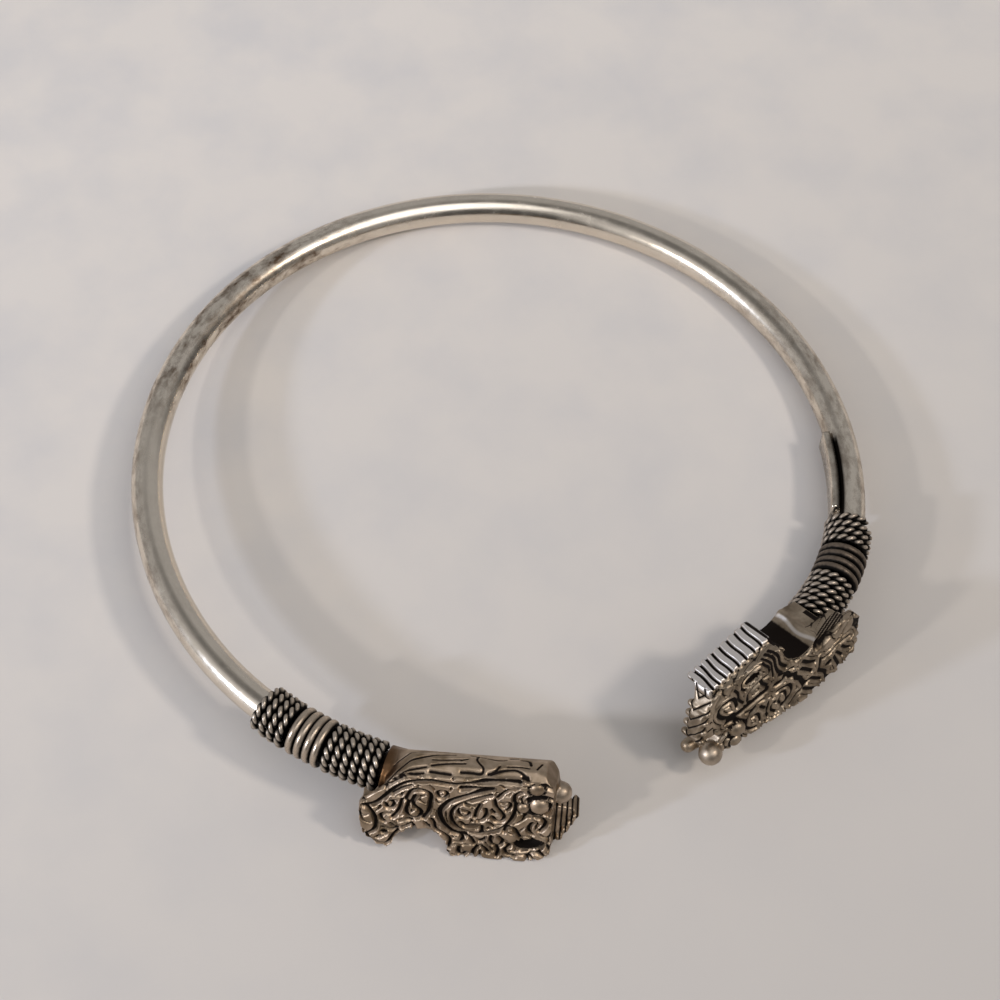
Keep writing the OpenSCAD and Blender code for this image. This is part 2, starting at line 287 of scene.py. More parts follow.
# in degrees from the back, left negative: the brown bloom of the upper left, the browner outer edge below it,
# the duller right side, and the painted shade in the groove beside the plate
bloom = {"least": 0.12, "topLeft": (-66, -48, -18, 4), "topLeftAmount": 0.9,
         "edge": (-108, -92, -66, -50), "edgeAmount": 0.6, "right": (50, 82), "rightAmount": 0.5}
seamShade = {"starts": (102, 104), "across": -0.86, "halfWidth": (0.18, 0.38)}


def rodMaterial():  # drawn, hand-polished silver: a soft mirror with lengthwise scratches and brown bloom
    material = newMaterial("wornPolishedSilver")
    tree = material.node_tree
    where = addNode(tree, "ShaderNodeAttribute", {"attribute_name": "unrolled"}).outputs["Vector"]
    scratchSpace = addNode(tree, "ShaderNodeVectorMath", {"operation": "MULTIPLY"}, {
        0: where, 1: (rod["scratchStretch"], 1, 1)})
    scratch = addNode(tree, "ShaderNodeTexNoise", inputs={
        "Vector": scratchSpace, "Scale": 1 / rod["scratchMm"], "Detail": 2})
    wear = addNode(tree, "ShaderNodeTexNoise", inputs={
        "Vector": where, "Scale": 1 / rod["wearMm"], "Detail": 6, "Roughness": 0.65})
    bloomSpace = addNode(tree, "ShaderNodeVectorMath", {"operation": "MULTIPLY"}, {
        0: where, 1: (rod["bloomStretch"], 1, 1)})
    mottle = addNode(tree, "ShaderNodeTexNoise", inputs={
        "Vector": bloomSpace, "Scale": 1 / rod["bloomMm"], "Detail": 6, "Roughness": 0.7})
    bloomHere = addNode(tree, "ShaderNodeAttribute", {"attribute_name": "bloom"}).outputs["Fac"]
    spots = addNode(tree, "ShaderNodeMapRange", inputs={
        "Value": mottle, "From Min": rod["bloomSpots"][0], "From Max": rod["bloomSpots"][1]})
    stain = addNode(tree, "ShaderNodeMath", {"operation": "MULTIPLY"}, {
        0: spots, 1: bloomHere})
    tinted = addNode(tree, "ShaderNodeMix", {"data_type": "RGBA"}, {
        "Factor": stain, "A": rod["colour"], "B": rod["tarnish"]})
    # recess: painted shade, black under the wraps and in the groove beside the plate
    dark = addNode(tree, "ShaderNodeAttribute", {"attribute_name": "recess"}).outputs["Fac"]
    colour = addNode(tree, "ShaderNodeMix", {"data_type": "RGBA"}, {
        "Factor": dark, "A": tinted, "B": rod["shadeUnderWrap"]})
    rough = addNode(tree, "ShaderNodeMapRange", inputs={
        "Value": wear, "From Min": 0.3, "From Max": 0.75,
        "To Min": rod["roughness"] - 0.06, "To Max": rod["roughness"] + 0.14})
    rougher = addNode(tree, "ShaderNodeMath", {"operation": "MULTIPLY_ADD"}, {
        0: stain, 1: 0.22, 2: rough})
    bump = addNode(tree, "ShaderNodeBump", inputs={
        "Height": scratch, "Strength": 0.12, "Distance": rod["scratchDepthMm"] * mm})
    shader = addNode(tree, "ShaderNodeBsdfPrincipled", inputs={
        "Base Color": colour, "Metallic": 1.0, "Roughness": rougher, "Normal": bump})
    addNode(tree, "ShaderNodeOutputMaterial", inputs={"Surface": shader})
    return material


def unrolled(angles, rim):  # each point's place on the rod rolled out flat, in mm: along, across and up
    return np.hstack([np.repeat(angles / degreesPerMm, len(rim))[:, None], np.tile(rim, (len(angles), 1))])


def makeRod():
    position = np.linspace(-ring["rodEnd"], ring["rodEnd"], rod["steps"])
    centre, outward = np.zeros((len(position), 3)), np.zeros((len(position), 3))
    for side in (-1, 1):
        here = np.sign(position) == side
        centre[here], outward[here] = rodPath(side, np.abs(position[here]))
    radius = np.where(position > ring["wrapStart"], rod["bentRadius"], rod["radius"])
    turn = np.linspace(0, 2 * math.pi, rod["sides"], endpoint=False)
    points = (centre[:, None] + radius[:, None, None] * (
        np.cos(turn)[None, :, None] * outward[:, None] + np.sin(turn)[None, :, None] * ringUp)).reshape(-1, 3)
    rim = np.stack([np.cos(turn), np.sin(turn)], -1) * rod["radius"]
    faces = gridFaces(len(position), rod["sides"])
    # the plate: a bent strip with rounded corners, sunk into the rod's inner side
    halfLength = plate["length"] / 2 * degreesPerMm
    stretch = np.linspace(plate["middle"] - halfLength, plate["middle"] + halfLength, plate["steps"])
    inner, root, half, corner = plate["inner"], plate["root"], plate["height"] / 2, plate["round"]
    profile = [(root, -half), (root, half), (inner + corner, half), (inner, half - corner),
               (inner, corner - half), (inner + corner, -half)]
    strip = np.array([[c + r * o + h * ringUp for r, h in profile] for c, o in zip(*rodPath(1, stretch))])
    faces += gridFaces(len(stretch), len(profile), len(points))
    flat = np.vstack([unrolled(position, rim), unrolled(stretch, profile)])
    lengthwise, across, height = flat.T
    degrees = lengthwise * degreesPerMm
    stained = window(degrees, *bloom["topLeft"]) * bloom["topLeftAmount"] + bloom["least"]
    outerSide = blendStep(0, 0.9, across / rod["radius"])
    stained += bloom["edgeAmount"] * window(degrees, *bloom["edge"]) * outerSide
    stained += bloom["rightAmount"] * blendStep(*bloom["right"], degrees)
    # painted shade: the rod is painted black where the wraps cover it
    wrapped = blendStep(ring["wrapStart"] - 0.2, ring["wrapStart"] + 0.6, np.abs(degrees))
    # painted shade: a black line in the groove where the plate meets the rod
    seamShadeLine = (height > 0) * blendStep(*seamShade["starts"], degrees) * (
        1 - blendStep(*seamShade["halfWidth"], np.abs(across - seamShade["across"])))
    makePiece("rodSilver", inFrame(np.concatenate([points, strip.reshape(-1, 3)])), faces, rodMaterial(),
              "bangle_rod", {
                  "unrolled": flat, "bloom": stained, "recess": np.maximum(wrapped, seamShadeLine)})


makeRod()
print("stage: rod and plate")

# the wire wraps in mm. The rope's rows lie flat and step over to the next one underneath, at the turn
# of crossing degrees; a tail is where its end shows, in degrees of turn.
wrap = {"fit": 0.05, "ropeRadius": 0.37, "ropePitch": 0.785, "firstRow": 0.39, "crossing": 255,
        "crossingPart": (0.36, 0.64), "rodRows": 4, "headRows": 6, "rodTail": {-1: -20, 1: 40},
        "headTail": -50, "lastTail": 100, "ropeSteps": 190,
        "strandRadius": 0.195, "strandOffset": 0.175, "strandSides": 9, "lay": 1.5, "endRound": 0.35,
        "wireRadius": 0.36, "wirePitch": 0.76, "wireTurns": 4, "wireSteps": 96, "wireSides": 20,
        "low": "#0A0705", "roughness": 0.24, "lowRoughness": 0.7, "nickMm": 0.35, "nickDepthMm": 0.04}
# where the source's ropes begin and end: turns on the rod's and on the head's side, pitch and diameter
sourceRope = {"rodTurns": 3, "headTurns": 5, "pitch": 0.81, "thick": 0.78}


def wrapMaterial(name, high, darkFrom, darkTo):  # oxidised silver wire: polished tops, black between for oxide and painted shade
    material = newMaterial(name)
    tree = material.node_tree
    height = addNode(tree, "ShaderNodeAttribute", {"attribute_name": "height"}).outputs["Fac"]
    where = addNode(tree, "ShaderNodeTexCoord").outputs["Object"]
    nicks = addNode(tree, "ShaderNodeTexNoise", inputs={
        "Vector": where, "Scale": 1000 / wrap["nickMm"], "Detail": 4})
    uneven = addNode(tree, "ShaderNodeMath", {"operation": "MULTIPLY_ADD"}, {
        0: nicks, 1: 0.35, 2: -0.175})
    # the black lows stand for oxide and for painted shade between the turns
    level = addNode(tree, "ShaderNodeMath", {"operation": "ADD"}, {0: height, 1: uneven})
    worn = addNode(tree, "ShaderNodeMapRange", {"interpolation_type": "SMOOTHSTEP"}, {
        "Value": level, "From Min": darkFrom, "From Max": darkTo})
    colour = addNode(tree, "ShaderNodeMix", {"data_type": "RGBA"}, {
        "Factor": worn, "A": wrap["low"], "B": high})
    rough = addNode(tree, "ShaderNodeMapRange", inputs={
        "Value": worn, "To Min": wrap["lowRoughness"], "To Max": wrap["roughness"]})
    metal = addNode(tree, "ShaderNodeMapRange", inputs={
        "Value": worn, "To Min": 0.2, "To Max": 1.0})
    bump = addNode(tree, "ShaderNodeBump", inputs={
        "Height": nicks, "Strength": 0.2, "Distance": wrap["nickDepthMm"] * mm})
    shader = addNode(tree, "ShaderNodeBsdfPrincipled", inputs={
        "Base Color": colour, "Metallic": metal, "Roughness": rough, "Specular IOR Level": 0.12,
        "Normal": bump})
    addNode(tree, "ShaderNodeOutputMaterial", inputs={"Surface": shader})
    return material


# each finish: the tops' colour, and the heights between which black gives way to it
finishes = {
    "leftRope": wrapMaterial("oxidisedTwistedSilverLeft", "#CDBFAE", 0.38, 1.12),
    "rightRope": wrapMaterial("oxidisedTwistedSilverRight", "#D0C1B0", 0.44, 1.18),
    "leftWire": wrapMaterial("oxidisedPlainWireLeft", "#C6B5A2", 0.42, 1.1),
    # painted shade: the right wire's finish is a darker copy of the left wire's
    "rightWire": wrapMaterial("oxidisedPlainWireShadedRight", "#8D7E6F", 0.62, 1.3),
}


def roundSweep(path, radii, hint, sides):  # a round tube along a path; hint is any direction off the path
    forward = np.gradient(path, axis=0)
    forward /= np.linalg.norm(forward, axis=1, keepdims=True)
    sideways = hint - forward * np.sum(hint * forward, axis=1, keepdims=True)
    sideways /= np.linalg.norm(sideways, axis=1, keepdims=True)
    across = np.cross(forward, sideways)
    turn = np.linspace(0, 2 * math.pi, sides, endpoint=False)
    rim = np.cos(turn)[None, :, None] * sideways[:, None] + np.sin(turn)[None, :, None] * across[:, None]
    return (path[:, None] + radii[:, None, None] * rim).reshape(-1, 3)


def makeRope(name, node, side, startAngle, rows, tail, finish):  # two twisted strands, wound in close rows
    coilRadius = ring["rodRadius"] + wrap["fit"] + wrap["ropeRadius"]
    last = rows * 360 - wrap["crossing"] + wrap["lastTail"]
    steps = int((last - tail) / 360 * wrap["ropeSteps"])
    turn = np.radians(np.linspace(tail, last, steps))
    wound = np.degrees(turn) / 360 + 0.5 - wrap["crossing"] / 360
    row = np.floor(wound) + blendStep(*wrap["crossingPart"], wound % 1)
    angle = startAngle + (wrap["firstRow"] + wrap["ropePitch"] * row) * degreesPerMm
    centre, outward = rodPath(side, angle)
    away = np.cos(turn)[:, None] * outward + np.sin(turn)[:, None] * ringUp
    middle = centre + coilRadius * away
    forward = np.gradient(middle, axis=0)
    length = np.concatenate([[0], np.cumsum(np.linalg.norm(np.diff(middle, axis=0), axis=1))])
    forward /= np.linalg.norm(forward, axis=1, keepdims=True)
    across = np.cross(forward, away)
    toEnd = np.clip(np.minimum(length, length[-1] - length) / wrap["endRound"], 0, 1)
    radii = wrap["strandRadius"] * np.sqrt(np.clip(1 - (1 - toEnd) ** 2, 0.0004, 1))
    points, faces = [], []
    for strand in (0, 1):
        lay = -2 * math.pi * length / wrap["lay"] + strand * math.pi
        path = middle + wrap["strandOffset"] * (np.cos(lay)[:, None] * away + np.sin(lay)[:, None] * across)
        faces += gridFaces(steps, wrap["strandSides"], strand * steps * wrap["strandSides"])
        points.append(roundSweep(path, radii, away, wrap["strandSides"]))
    points = np.concatenate(points)
    axis = np.tile(np.repeat(centre, wrap["strandSides"], axis=0), (2, 1))
    rise = (np.linalg.norm(points - axis, axis=1) - coilRadius) / wrap["ropeRadius"]
    makePiece(name, inFrame(points), faces, finish, node, {"height": rise})


def makeWire(name, node, side, middleAngle, finish):  # close turns of plain wire, fanned along the bend
    steps, sides = wrap["wireSteps"], wrap["wireSides"]
    turn = np.linspace(0, 2 * math.pi, steps, endpoint=False)
    around = np.linspace(0, 2 * math.pi, sides, endpoint=False)
    coilRadius = ring["rodRadius"] + wrap["fit"] + wrap["wireRadius"]
    radial = coilRadius + wrap["wireRadius"] * np.cos(around)
    points, faces, rises = [], [], []
    for i in range(wrap["wireTurns"]):
        shift = (i - (wrap["wireTurns"] - 1) / 2) * wrap["wirePitch"]
        centre, outward = (v[0] for v in rodPath(side, middleAngle + shift * degreesPerMm))
        along = side * np.cross(outward, ringUp)
        away = np.cos(turn)[:, None] * outward + np.sin(turn)[:, None] * ringUp
        points.append((centre + radial[None, :, None] * away[:, None]
                       + wrap["wireRadius"] * np.sin(around)[None, :, None] * along).reshape(-1, 3))
        faces += gridFaces(steps, sides, i * steps * sides, closed=True)
        rises.append(np.tile(np.cos(around), steps))
    makePiece(name, inFrame(np.concatenate(points)), faces, finish, node, {
        "height": np.concatenate(rises)})


def ropeSpan(turns):  # degrees of the ring that a rope of the source covers
    return (turns * sourceRope["pitch"] + sourceRope["thick"]) * degreesPerMm


headRopeStart = ring["wrapEnd"] - ropeSpan(sourceRope["headTurns"])
wireMiddle = (ring["wrapStart"] + ropeSpan(sourceRope["rodTurns"]) + headRopeStart) / 2
for side, word in ((-1, "left"), (1, "right")):
    makeRope(word + "RodRope", word + "_rod_rope", side, ring["wrapStart"], wrap["rodRows"],
             wrap["rodTail"][side], finishes[word + "Rope"])
    makeWire(word + "PlainWire", word + "_plain_wire", side, wireMiddle, finishes[word + "Wire"])
    makeRope(word + "HeadRope", word + "_head_rope", side, headRopeStart, wrap["headRows"],
             wrap["headTail"], finishes[word + "Rope"])
print("stage: wire wraps")

# The cast heads: the source's castings, remeshed finely and carved. In the head's frame, in mm, u runs
# from the neck to the nose, v from the jaw to the crest and w out of the ornamented face.
# engraved channels of the left face: half width, then points (u, v)
leftChannels = [
    (0.13, [(0.6, 4.5), (1.1, 4.0), (1.45, 3.2), (1.55, 2.4), (1.4, 1.7), (0.65, 1.0)]),
    (0.10, [(0.75, 0.95), (1.3, 0.4), (1.9, 0.2), (2.45, 0.2), (2.85, 0.8), (3.05, 1.3), (3.4, 1.75)]),
    (0.24, [(2.15, 1.5), (2.3, 1.45)]),
    (0.09, [(2.1, 2.1), (2.55, 1.95), (3.0, 1.9), (3.35, 2.05)]),
    (0.10, [(2.75, 3.75), (2.25, 3.8), (1.92, 3.5), (1.98, 3.1), (2.25, 2.85)]),
    (0.12, [(2.3, 4.95), (2.45, 4.5), (2.85, 4.5), (3.0, 4.9), (2.75, 5.2), (3.15, 5.35)]),
    (0.11, [(3.7, 5.6), (3.57, 5.1), (3.45, 4.4), (3.15, 3.7), (2.9, 3.35)]),
    (0.13, [(3.97, 5.5), (4.14, 6.1), (4.36, 6.55), (4.8, 6.85), (5.4, 6.8), (5.85, 6.5), (6.0, 6.0),
            (5.95, 5.3), (5.9, 4.6), (5.73, 4.05), (5.45, 3.5)]),
    (0.14, [(4.75, 6.1), (4.55, 5.6), (4.5, 5.2), (4.7, 4.85), (5.1, 4.5), (5.27, 3.95), (5.05, 3.6),
            (4.6, 3.5), (4.15, 3.75), (4.0, 4.2), (4.12, 4.8), (4.2, 5.3)]),
    (0.09, [(3.4, 3.05), (3.9, 3.25), (4.5, 3.15)]),
    (0.10, [(2.75, 2.6), (3.05, 2.3), (3.6, 2.25), (4.05, 2.45), (4.5, 2.75), (4.7, 2.35)]),
    (0.10, [(6.1, 3.5), (6.35, 2.95), (6.45, 2.4), (7.0, 2.0)]),
    (0.20, [(0.55, 4.5), (1.4, 4.86), (2.0, 5.43), (2.55, 6.15), (3.25, 6.95), (4.0, 7.5), (4.8, 7.8),
            (5.95, 7.95), (6.85, 7.85), (7.75, 7.75), (8.7, 7.9), (9.6, 8.12), (10.5, 8.35), (11.4, 8.5),
            (12.3, 8.5), (13.1, 8.45)]),
    (0.07, [(2.9, 6.1), (3.6, 6.75), (4.4, 7.2)]),
    (0.20, [(10.9, 7.4), (9.9, 7.05), (9.1, 6.65), (8.2, 6.2), (7.55, 5.75), (7.1, 5.2), (6.8, 4.6),
            (6.75, 4.05), (6.92, 3.5), (7.1, 3.05), (7.55, 2.5), (8.2, 2.05), (8.9, 1.9)]),
    (0.18, [(8.4, 7.3), (9.3, 7.45), (10.2, 7.55), (11.0, 7.6)]),
    (0.12, [(10.9, 6.8), (9.4, 6.1), (8.25, 5.35), (7.8, 4.65), (7.68, 3.95), (7.85, 3.3), (8.25, 2.75),
            (8.9, 2.35), (9.8, 2.2), (10.6, 2.3), (11.4, 2.65), (12.1, 3.2), (12.55, 3.95), (12.8, 4.7),
            (12.9, 5.3), (12.85, 6.1)]),
    (0.10, [(8.35, 4.85), (8.8, 4.8), (9.15, 4.6), (9.1, 4.2), (8.7, 4.05), (8.3, 4.3), (8.25, 4.6)]),
    (0.10, [(10.0, 5.5), (9.72, 4.7), (9.65, 4.05)]),
    (0.10, [(10.45, 5.2), (10.56, 4.5), (10.3, 3.95), (9.9, 3.7)]),
    (0.11, [(11.15, 6.2), (11.3, 5.55), (11.6, 5.1), (11.9, 4.65), (12.03, 4.2), (11.75, 3.85),
            (11.3, 3.95), (11.05, 4.3)]),
    (0.10, [(11.75, 6.0), (12.3, 6.1), (12.5, 5.6), (12.2, 5.15)]),
    (0.10, [(8.5, 3.4), (8.85, 3.05), (9.4, 3.05), (10.15, 3.15), (10.27, 2.85), (10.27, 2.45)]),
    (0.10, [(10.8, 3.55), (11.2, 3.2)]),
    (0.08, [(8.8, 5.45), (9.5, 5.45), (10.05, 5.7)]),
    (0.11, [(11.35, 6.5), (11.85, 7.2), (12.3, 7.6), (13.05, 7.75)]),
    (0.12, [(12.75, 6.1), (12.75, 6.8), (13.0, 7.2), (13.4, 7.4)]),
    (0.14, [(13.8, 6.5), (14.1, 6.85), (14.75, 7.05), (15.4, 7.05), (15.9, 6.8)]),
    (0.12, [(13.25, 5.0), (13.0, 5.4), (13.1, 6.0)]),
    (0.12, [(15.6, 5.0), (15.95, 5.3)]),
    (0.12, [(14.55, 4.7), (15.1, 4.55), (15.42, 4.05), (15.3, 3.5), (14.95, 3.0)]),
    (0.12, [(14.35, 3.9), (14.12, 3.4), (14.1, 2.9), (14.4, 2.6)]),
    (0.11, [(7.8, 2.1), (8.4, 1.95), (8.74, 1.5), (8.6, 1.05), (8.15, 1.0)]),
    (0.11, [(8.95, 1.75), (9.3, 1.7), (9.5, 1.35), (9.75, 0.9)]),
    (0.10, [(7.15, 1.9), (7.6, 1.4), (7.72, 0.8), (7.6, 0.2)]),
    (0.11, [(8.5, 0.35), (8.45, -0.3), (8.85, -0.45), (9.1, -0.15)]),
    (0.11, [(10.05, 0.65), (9.7, 0.1), (9.6, -0.5), (9.4, -0.8)]),
    (0.11, [(10.25, 0.75), (10.6, 0.45), (10.85, 0.05)]),
    (0.11, [(11.1, 1.95), (11.0, 1.3), (11.35, 0.95), (11.85, 1.0), (12.05, 1.5), (11.7, 1.95)]),
    (0.11, [(11.55, 0.75), (11.7, 0.2), (11.6, -0.3)]),
    (0.11, [(12.4, 1.25), (12.65, 1.0), (12.3, 0.6), (12.27, 0.2), (12.65, -0.1), (13.1, -0.2)]),
    (0.11, [(12.1, 2.65), (12.3, 3.1), (12.85, 3.15), (13.15, 2.6), (13.45, 2.0)]),
    (0.10, [(15.65, 1.4), (15.9, 0.7)]),
    (0.10, [(16.15, 1.95), (16.55, 1.5)]),
]
leftRing = {"at": (6.9, 6.5), "radius": 0.42, "half": 0.09}  # a small engraved ring
# grooves combed along the crest: half width, then points (u, w)
combing = [
    (0.08, [(2.4, 2.2), (3.1, 1.85), (4.0, 1.3), (5.05, 0.85), (5.95, 0.55), (6.6, 0.4), (7.7, 0.3)]),
    (0.05, [(3.4, 2.3), (4.1, 2.1), (4.8, 1.95), (5.5, 1.8)]),
    (0.06, [(4.0, 2.4), (4.8, 2.3), (5.3, 2.25)]),
    (0.08, [(5.8, 2.1), (6.6, 2.15), (7.5, 2.2)]),
    (0.08, [(5.9, 1.65), (6.6, 1.5), (7.4, 1.38), (8.6, 1.25)]),
    (0.05, [(5.9, 1.05), (7.1, 1.0), (8.6, 0.8)]),
    (0.08, [(8.3, 2.0), (9.1, 1.98), (9.8, 2.02), (10.05, 1.9), (10.05, 1.55), (9.7, 1.1), (9.5, 0.7),
            (9.6, 0.2)]),
    (0.05, [(8.2, 0.95), (8.8, 0.7)]),
    (0.08, [(10.5, 2.0), (11.05, 1.75), (11.4, 1.25)]),
    (0.08, [(10.7, 2.0), (11.6, 1.7), (12.65, 1.55), (13.3, 1.8), (13.8, 2.2)]),
    (0.20, [(13.4, 2.1), (13.65, 2.1)]),
    (0.05, [(12.0, 1.27), (13.0, 1.2), (13.8, 1.27)]),
    (0.11, [(13.1, 0.3), (13.7, 0.4), (13.9, 0.9)]),
    (0.06, [(14.4, 1.3), (14.8, 0.6)]),
    (0.09, [(12.2, 0.1), (12.8, -0.05)]),
    (0.05, [(2.8, 0.9), (4.4, 0.2), (6.2, -0.3)]),
    (0.05, [(6.4, -0.2), (8.2, -0.5), (10.4, -0.55)]),
    (0.05, [(9.0, 0.1), (11.0, 0.6), (11.9, 0.5)]),
]
# The right face was traced where the photo's slanting view falls on a plane: a point 1 mm deeper shows
# shifted by slide, and toward points to the camera.
tracing = {"plane": 2.5, "slide": (0.83, -1.85), "toward": (0.387, -0.813, 0.435)}
rightChannels = [
    (0.12, [(2.65, 9.0), (2.5, 8.3), (2.7, 7.5), (2.95, 6.6)]),
    (0.15, [(3.5, 8.75), (4.15, 8.35), (4.1, 7.7), (4.5, 7.1), (4.85, 6.6), (4.6, 5.9), (4.5, 5.2)]),
    (0.12, [(4.8, 7.9), (5.2, 7.5), (5.6, 7.0), (5.95, 6.6)]),
    (0.13, [(5.5, 8.6), (6.0, 8.1), (6.4, 7.7), (6.75, 7.25)]),
    (0.16, [(8.6, 7.4), (7.8, 6.95), (7.1, 6.9), (6.6, 6.65), (6.1, 6.6)]),
    (0.20, [(6.7, 6.6), (6.9, 6.0), (7.05, 5.5), (7.5, 4.9), (7.55, 4.3), (8.1, 3.95), (8.45, 3.3),
            (9.2, 3.45), (10.0, 3.2)]),
    (0.13, [(9.4, 6.7), (8.6, 6.4), (8.2, 5.9), (8.15, 5.4), (8.5, 4.85), (9.1, 4.55), (9.9, 4.3)]),
    (0.10, [(9.9, 6.9), (9.0, 6.25), (8.85, 5.7), (9.0, 5.2), (9.5, 4.95)]),
    (0.10, [(9.6, 6.3), (9.75, 5.8), (9.6, 5.4)]),
    (0.10, [(10.3, 6.7), (10.65, 6.2), (10.7, 5.7), (10.4, 5.3), (10.1, 5.6)]),
    (0.11, [(11.35, 5.05), (11.65, 4.65), (11.85, 4.2)]),
    (0.10, [(11.2, 6.3), (11.3, 5.7), (11.0, 5.2), (10.9, 4.6)]),
    (0.11, [(12.1, 6.0), (12.1, 5.3), (12.5, 4.75), (12.95, 4.6)]),
    (0.12, [(12.6, 6.35), (13.3, 5.95), (13.7, 5.4), (13.6, 4.8), (13.3, 4.1), (12.4, 3.8)]),
    (0.10, [(11.3, 3.7), (12.1, 3.5), (12.9, 3.6), (13.6, 3.3)]),
    (0.26, [(10.9, 2.85), (12.0, 2.7), (13.0, 2.6), (14.2, 2.5), (15.4, 2.2)]),
    (0.12, [(10.8, 2.4), (11.2, 1.75), (11.4, 1.05)]),
    (0.11, [(10.25, 0.9), (10.6, 1.1), (11.5, 0.95), (12.8, 1.1), (13.1, 1.6), (13.1, 2.1)]),
    (0.10, [(10.3, 0.9), (10.3, 0.4), (10.7, -0.3), (11.1, -1.0), (12.4, -1.2), (13.4, -0.9),
            (13.6, -0.2), (13.2, 0.5)]),
    (0.10, [(13.6, 1.9), (14.0, 1.0), (14.0, 0.1), (14.4, -0.8)]),
    (0.16, [(14.35, 1.5), (14.4, 0.7), (14.75, 0.1), (15.4, -0.15), (16.1, -0.2), (16.45, 0.3),
            (16.3, 1.0), (15.8, 1.7), (15.0, 2.0)]),
    (0.11, [(8.4, 2.3), (8.8, 1.7), (9.05, 1.1), (9.1, 0.2), (9.5, -0.8), (10.2, -1.9)]),
    (0.12, [(9.0, 2.6), (9.4, 1.9), (9.55, 1.0), (9.6, 0.0), (10.0, -0.9), (10.6, -1.8)]),
    (0.09, [(10.0, 1.9), (9.95, 1.0), (10.0, 0.2), (10.45, -0.7), (11.0, -1.6)]),
    (0.20, [(7.25, 2.4), (7.4, 2.2)]),
    (0.18, [(6.1, 2.75), (6.3, 2.65)]),
    (0.11, [(5.1, 2.3), (5.25, 1.5), (5.6, 0.9)]),
    (0.11, [(6.4, 1.6), (6.9, 1.3), (7.0, 0.6)]),
    (0.12, [(0.9, 5.75), (1.6, 5.6), (2.6, 5.5), (3.3, 5.7), (4.2, 5.6)]),
    (0.10, [(1.0, 7.3), (1.5, 6.9), (1.9, 6.2)]),
    (0.10, [(2.0, 7.4), (2.3, 6.9), (2.65, 6.3)]),
    (0.26, [(3.5, 6.9), (3.75, 6.8)]),
    (0.13, [(5.7, 5.8), (6.3, 5.0), (6.9, 4.25)]),
    (0.13, [(5.2, 5.0), (6.0, 4.3), (6.6, 3.5)]),
    (0.10, [(7.6, 3.2), (8.2, 2.9), (8.8, 2.9), (9.5, 2.5)]),
    (0.16, [(13.9, 4.2), (14.5, 3.5), (14.9, 2.7), (15.9, 2.3)]),
]
# each head: its turns in degrees as the source has them, its colours, the height of the face's relief above
# and below its own level, that level along u, and the details: bosses as (u, v), radius and height,
# hollows as (u, v), half sizes, turn in radians and depth; each hollow is painted dark inside as shade
heads = {
    "left": {
        "node": "left_head", "side": -1, "turn": -25.5, "dip": 0, "tip": 71,
        "high": "#BCA892", "worn": "#78664F",
        "channels": leftChannels, "channelShare": 0.9, "top": 0.26, "floor": -0.18,
        "level": ([-2, 0, 15.9, 16.1, 19], [1.7, 2.5, 2.5, 1.3, 1.0]), "faceEnd": 16.0,
        "ball": (16.5, 6.0, 0.9), "ballRadius": 0.95,
        "bosses": [((14.8, 5.95), 0.82, 0.55), ((14.5, 7.8), 0.62, 0.4), ((13.5, 5.6), 0.52, 0.42)],
        "hollows": [((14.25, 1.2), (1.4, 0.85), 0.21, 1.2)],
        "chin": {"from": 15.9, "v": (0.2, 4.9), "pitch": 0.43, "line": (0.05, 0.13)}},
    "right": {
        "node": "right_head", "side": 1, "turn": -157, "dip": 1.5, "tip": -76,
        # painted shade: the right head's colours are a darker copy of the left's
        "high": "#B0A08C", "worn": "#6A5B49",
        "channels": rightChannels, "channelShare": 1.15, "top": 0.14, "floor": -0.12,
        "level": ([-2, 1, 7, 15.5, 17.5, 19], [2.2, 2.9, 2.9, 1.5, 1.2, 0.6]), "faceEnd": 16.3,
        "ball": (17.0, 6.6, 1.3), "ballRadius": 1.05,
        "bosses": [((14.2, 5.5), 0.78, 0.72), ((14.5, 7.0), 0.6, 0.45)],
        "hollows": [((12.1, -0.35), (1.15, 0.45), -0.05, 0.8), ((3.3, 2.5), (2.2, 1.2), 0.4, 0.5)],
        "chin": {"from": 15.6, "v": (-0.6, 3.9), "pitch": 0.85, "line": (0.04, 0.17)}},
}
# both castings, in mm: their place on the ring, the fine mesh, the carving and the finish
casting = {"at": 137, "socket": (0, 6.1, -0.9), "voxel": 0.082, "softening": 5, "edgeRound": 0.2,
           "grooveDepth": 0.13, "lineDepth": 0.05, "insideBox": 0.005, "weld": 0.0005,
           "faceBand": 0.12, "ballBand": 0.06, "lineFade": (-0.05, 0.13), "fillFrom": 0.2, "fillGap": 0.32,
           # polished is the pale silver of polish and of the painted sheen
           "polished": "#EDE6E0", "low": "#120B07", "paintedBrownReflection": "#5A3D22", "roughness": 0.42,
           "lowRoughness": 0.75, "grainMm": 0.22, "grainDepthMm": 0.04, "patinaMm": 1.6}
# the right head's details in mm: lines between the jaw's ribs at u, the jaw's level along v, the arch painted
# black for oxide and shade with a painted highlight on its pale step, and the neck's petal painted dark as
# shade with its veins, and the painted shadow in the corner under it
jaw = {"lines": (9.45, 10.3, 11.25, 12.15, 13.0, 13.75, 14.5, 15.15), "u": (8.5, 16), "level": -0.84,
       "w": (-1.75, -1.45, 1.0, 1.25), "line": (0.05, 0.2), "groove": 0.3, "lean": 0.12, "wobble": 0.05}
arch = {"at": 6.3, "reach": 2.7, "ring": 2.4, "v": (-0.9, 2.6), "dark": (5.4, 5.9), "step": 5.2,
        "line": (0.05, 0.22), "wobble": 0.15}
petal = {"at": (3.3, 2.3), "half": (2.3, 1.3), "turn": 0.45, "veinGap": 0.55, "veinSlope": 0.5,
         "vein": (0.05, 0.13)}
corner = {"u": (1.9, 3.5), "w": (-0.2, 1.3), "dark": 0.9}
